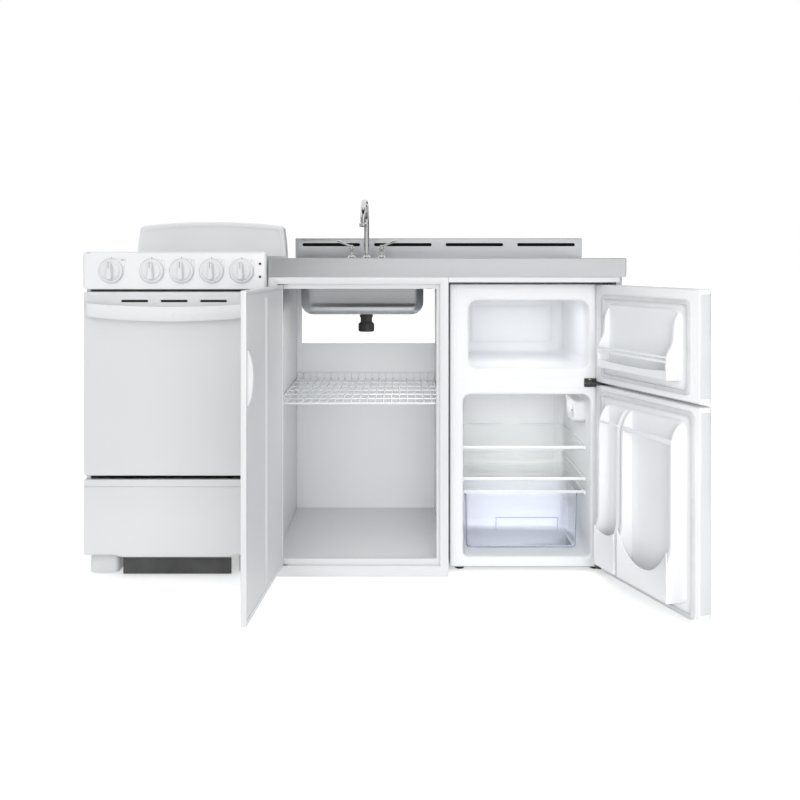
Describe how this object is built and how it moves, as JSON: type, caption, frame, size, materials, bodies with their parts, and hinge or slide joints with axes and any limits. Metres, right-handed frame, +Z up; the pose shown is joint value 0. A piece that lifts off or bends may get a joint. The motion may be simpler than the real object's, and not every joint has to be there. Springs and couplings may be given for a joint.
{
  "type": "kitchenette unit",
  "caption": "Fitted kitchenette: free-standing electric range beside a steel sink counter over a sink cabinet and a two-door refrigerator, doors open.",
  "frame": {"origin": "on the floor under the sink cabinet's base, at the unit's mid width and the countertop's mid depth", "axes": "+X to the right as seen from the front, +Y to the wall, +Z up"},
  "size_m": [1.6745, 1.0604, 1.108],
  "materials": {
    "painted_white": "gloss",
    "oven_enamel": "gloss",
    "insulation": "matt",
    "element_steel": "matt",
    "rack_chrome": "polished",
    "seal": "matt",
    "zinc_steel": "satin",
    "knob_white": "satin",
    "switch_black": "matt",
    "lamp_red": "gloss",
    "stainless": "brushed",
    "wire_white": "satin",
    "liner_white": "satin",
    "hinge_dark": "satin",
    "clear_glass": "clear",
    "crisper_clear": "clear",
    "machine_black": "satin"
  },
  "bodies": {
    "unit": {"range_casing": "painted_white", "oven_liner": "oven_enamel", "oven_insulation": "insulation", "oven_elements": "element_steel", "oven_rack": "rack_chrome", "range_legs": "zinc_steel", "backguard": "painted_white", "control_panel": "painted_white", "control_switches": "switch_black", "indicator_lamps": "lamp_red", "range_rear_cover": "zinc_steel", "countertop": "stainless", "sink_bowl": "stainless", "drain_body": "switch_black", "drain_nut": "switch_black", "faucet_body": "rack_chrome", "cabinet_panels": "painted_white", "cabinet_back": "painted_white", "cabinet_floor": "painted_white", "face_frame": "painted_white", "cabinet_fittings": "zinc_steel", "wire_shelf": "wire_white", "fridge_shell": "painted_white", "fridge_liner": "liner_white", "fridge_foam": "insulation", "fridge_hinges": "hinge_dark", "crisper_cover": "clear_glass", "thermostat_housing": "knob_white", "cooling_unit": "machine_black"},
    "oven_door": {"oven_door_skin": "painted_white", "oven_door_liner": "oven_enamel", "oven_door_gasket": "seal", "oven_door_handle": "painted_white"},
    "storage_drawer": {"storage_drawer": "painted_white"},
    "cooktop": {"cooktop": "painted_white", "drip_bowls": "rack_chrome", "coil_elements": "element_steel"},
    "oven_knob": {"oven_knob": "knob_white"},
    "strainer_basket": {"strainer_basket": "stainless"},
    "faucet_spout": {"faucet_spout": "rack_chrome"},
    "hot_lever": {"hot_lever": "rack_chrome"},
    "cold_lever": {"cold_lever": "rack_chrome"},
    "sink_door": {"sink_door_skin": "painted_white", "sink_door_liner": "painted_white"},
    "freezer_door": {"freezer_door_skin": "painted_white", "freezer_door_liner": "liner_white"},
    "fridge_door": {"fridge_door_skin": "painted_white", "fridge_door_liner": "liner_white"},
    "upper_shelf": {"upper_shelf": "clear_glass"},
    "lower_shelf": {"lower_shelf": "clear_glass"},
    "crisper": {"crisper": "crisper_clear"},
    "thermostat_knob": {"thermostat_knob": "knob_white"},
    "hob_stem_1": {"hob_stem_1": "zinc_steel"},
    "hob_knob_1": {"hob_knob_1": "knob_white"},
    "hob_stem_2": {"hob_stem_2": "zinc_steel"},
    "hob_knob_2": {"hob_knob_2": "knob_white"},
    "hob_stem_3": {"hob_stem_3": "zinc_steel"},
    "hob_knob_3": {"hob_knob_3": "knob_white"},
    "hob_stem_4": {"hob_stem_4": "zinc_steel"},
    "hob_knob_4": {"hob_knob_4": "knob_white"}
  },
  "joints": [
    {"name": "oven_door_hinge", "type": "hinge", "parent": "unit", "child": "oven_door", "pos_m": [-0.515, -0.322, 0.303], "axis": [1, 0, 0], "range_deg": [0, 90]},
    {"name": "storage_drawer_slide", "type": "slide", "parent": "unit", "child": "storage_drawer", "axis": [0, -1, 0], "range_m": [0, 0.38]},
    {"name": "cooktop_lift", "type": "hinge", "parent": "unit", "child": "cooktop", "pos_m": [-0.515, 0.182, 0.907], "axis": [-1, 0, 0], "range_deg": [0, 22]},
    {"name": "oven_knob_turn", "type": "hinge", "parent": "unit", "child": "oven_knob", "pos_m": [-0.6935, -0.335, 0.877], "axis": [0, 1, 0], "range_deg": [0, 300]},
    {"name": "strainer_basket_lift", "type": "slide", "parent": "unit", "child": "strainer_basket", "axis": [0, 0, 1], "range_m": [0, 0.06]},
    {"name": "spout_swivel", "type": "hinge", "parent": "unit", "child": "faucet_spout", "pos_m": [0.014, 0.165, 0.928], "axis": [0, 0, 1], "range_deg": [-100, 100]},
    {"name": "hot_lever_turn", "type": "hinge", "parent": "unit", "child": "hot_lever", "pos_m": [-0.0368, 0.165, 0.95], "axis": [0, 0, 1], "range_deg": [0, 90]},
    {"name": "cold_lever_turn", "type": "hinge", "parent": "unit", "child": "cold_lever", "pos_m": [0.0648, 0.165, 0.95], "axis": [0, 0, -1], "range_deg": [0, 90]},
    {"name": "sink_door_hinge", "type": "hinge", "parent": "unit", "child": "sink_door", "pos_m": [-0.2184, -0.2994, 0.434], "axis": [0, 0, 1], "range_deg": [-11, 94]},
    {"name": "freezer_door_hinge", "type": "hinge", "parent": "unit", "child": "freezer_door", "pos_m": [0.716, -0.28, 0.696], "axis": [0, 0, 1], "range_deg": [-111, 6]},
    {"name": "fridge_door_hinge", "type": "hinge", "parent": "unit", "child": "fridge_door", "pos_m": [0.716, -0.28, 0.286], "axis": [0, 0, 1], "range_deg": [-111, 6]},
    {"name": "upper_shelf_slide", "type": "slide", "parent": "unit", "child": "upper_shelf", "axis": [0, -1, 0], "range_m": [0, 0.12]},
    {"name": "lower_shelf_slide", "type": "slide", "parent": "unit", "child": "lower_shelf", "axis": [0, -1, 0], "range_m": [0, 0.12]},
    {"name": "crisper_slide", "type": "slide", "parent": "unit", "child": "crisper", "axis": [0, -1, 0], "range_m": [0, 0.2]},
    {"name": "thermostat_knob_turn", "type": "hinge", "parent": "unit", "child": "thermostat_knob", "pos_m": [0.645, -0.146, 0.455], "axis": [1, 0, 0], "range_deg": [0, 270]},
    {"name": "hob_knob_1_turn", "type": "hinge", "parent": "unit", "child": "hob_stem_1", "pos_m": [-0.578, -0.335, 0.877], "axis": [0, 1, 0], "continuous": true},
    {"name": "hob_knob_1_push", "type": "slide", "parent": "hob_stem_1", "child": "hob_knob_1", "axis": [0, 1, 0], "range_m": [0, 0.0025], "stiffness_N_per_m": 700, "springref_m": -0.002},
    {"name": "hob_knob_2_turn", "type": "hinge", "parent": "unit", "child": "hob_stem_2", "pos_m": [-0.4931, -0.335, 0.877], "axis": [0, 1, 0], "continuous": true},
    {"name": "hob_knob_2_push", "type": "slide", "parent": "hob_stem_2", "child": "hob_knob_2", "axis": [0, 1, 0], "range_m": [0, 0.0025], "stiffness_N_per_m": 700, "springref_m": -0.002},
    {"name": "hob_knob_3_turn", "type": "hinge", "parent": "unit", "child": "hob_stem_3", "pos_m": [-0.4082, -0.335, 0.877], "axis": [0, 1, 0], "continuous": true},
    {"name": "hob_knob_3_push", "type": "slide", "parent": "hob_stem_3", "child": "hob_knob_3", "axis": [0, 1, 0], "range_m": [0, 0.0025], "stiffness_N_per_m": 700, "springref_m": -0.002},
    {"name": "hob_knob_4_turn", "type": "hinge", "parent": "unit", "child": "hob_stem_4", "pos_m": [-0.3233, -0.335, 0.877], "axis": [0, 1, 0], "continuous": true},
    {"name": "hob_knob_4_push", "type": "slide", "parent": "hob_stem_4", "child": "hob_knob_4", "axis": [0, 1, 0], "range_m": [0, 0.0025], "stiffness_N_per_m": 700, "springref_m": -0.002}
  ]
}
